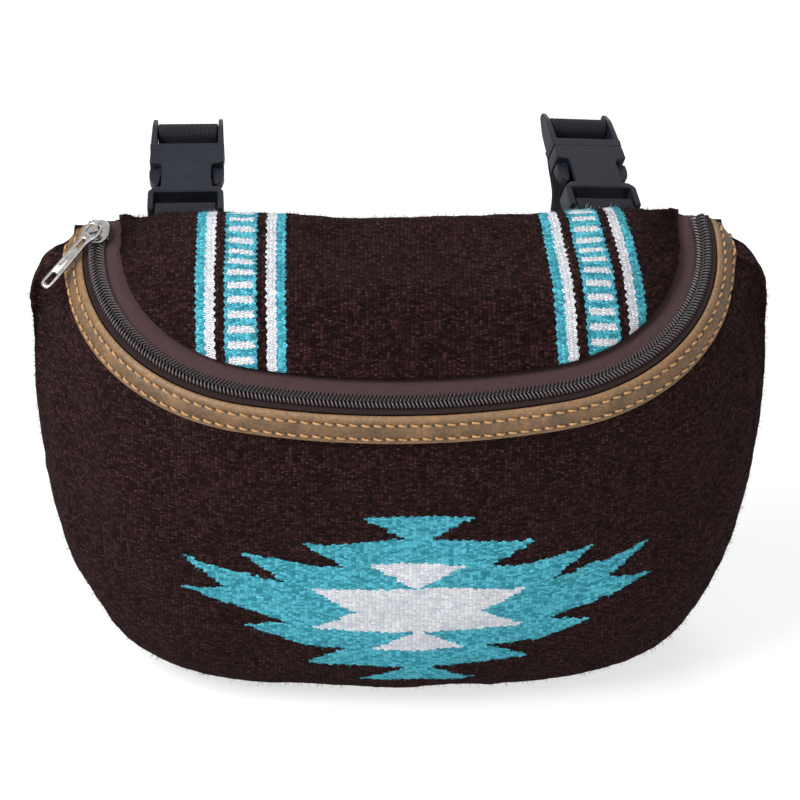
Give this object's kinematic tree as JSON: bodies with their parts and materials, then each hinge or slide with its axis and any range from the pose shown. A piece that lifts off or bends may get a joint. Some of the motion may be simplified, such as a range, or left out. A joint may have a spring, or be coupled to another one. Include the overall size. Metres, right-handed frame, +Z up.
{
  "type": "saddle bag",
  "caption": "Zipped wool saddle pouch with a domed lid, a curved zip edged in leather, and buckled webbing strap loops on its flat back.",
  "frame": {"origin": "middle of the flattened underside that the pouch stands on", "axes": "+X across the pouch, to the right seen from its front; +Y out of the flat back; +Z up"},
  "size_m": [0.295, 0.1712, 0.209],
  "materials": {
    "wool": "flat-woven wool, dark brown with turquoise and white weaving",
    "zip_tape": "woven brown tape",
    "zip_coil": "dark nylon coil",
    "leather": "tan, lightly waxed",
    "nickel": "bright nickel",
    "webbing": "black nylon webbing",
    "buckle": "black moulded plastic"
  },
  "bodies": {
    "pouch": {"back_panel": "wool", "front_panel": "wool", "lid_panel": "wool", "leather_trim": "leather", "zip_tape_lid": "zip_tape", "zip_tape_front": "zip_tape", "zip_coil_lid": "zip_coil", "zip_coil_front": "zip_coil", "left_short_strap": "webbing", "left_long_strap": "webbing", "left_buckle_socket": "buckle", "right_short_strap": "webbing", "right_long_strap": "webbing", "right_buckle_socket": "buckle"},
    "slider": {"zip_slider": "nickel"},
    "pull": {"zip_pull": "nickel"},
    "left_prong": {"left_buckle_prong": "buckle"},
    "right_prong": {"right_buckle_prong": "buckle"}
  },
  "joints": [
    {"name": "zip_run", "type": "hinge", "parent": "pouch", "child": "slider", "pos_m": [-0.04456, 0.012, 0.185], "axis": [0, -0.342, 0.9397], "range_deg": [0, 74]},
    {"name": "pull_swing", "type": "hinge", "parent": "slider", "child": "pull", "pos_m": [-0.12077, 0.01567, 0.19442], "axis": [-0.749, 0.6227, 0.2266], "range_deg": [0, 120]},
    {"name": "left_buckle_release", "type": "slide", "parent": "pouch", "child": "left_prong", "axis": [0, 0.9397, 0.342], "range_m": [0, 0.021], "deforming": ["left_buckle_prong", "left_long_strap"]},
    {"name": "right_buckle_release", "type": "slide", "parent": "pouch", "child": "right_prong", "axis": [-0.1775, 0.9133, 0.3665], "range_m": [0, 0.021], "deforming": ["right_buckle_prong", "right_long_strap"]}
  ]
}
